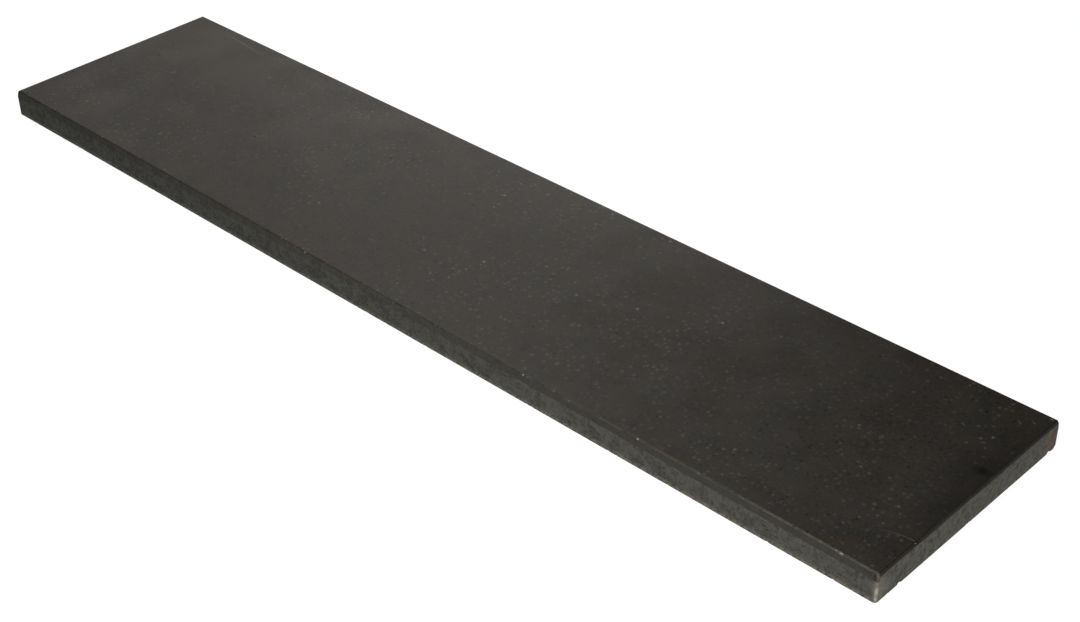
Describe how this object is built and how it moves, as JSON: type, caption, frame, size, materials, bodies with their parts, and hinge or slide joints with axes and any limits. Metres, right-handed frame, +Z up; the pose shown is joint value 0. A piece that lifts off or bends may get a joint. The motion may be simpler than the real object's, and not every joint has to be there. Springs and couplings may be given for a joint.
{
  "type": "basalt massage stone",
  "caption": "Long, thin, rectangular slab of dark honed basalt with a ground facet round its top face, laid flat as a warm massage surface.",
  "frame": {"origin": "middle of the bedding face, which is the lowest point of the stone", "axes": "+X along the length, +Y across the width towards the back, +Z up out of the honed face"},
  "size_m": [0.78, 0.175, 0.02],
  "materials": {
    "honed_basalt": "satin"
  },
  "bodies": {
    "root": {"basalt_stone": "honed_basalt"}
  },
  "joints": []
}
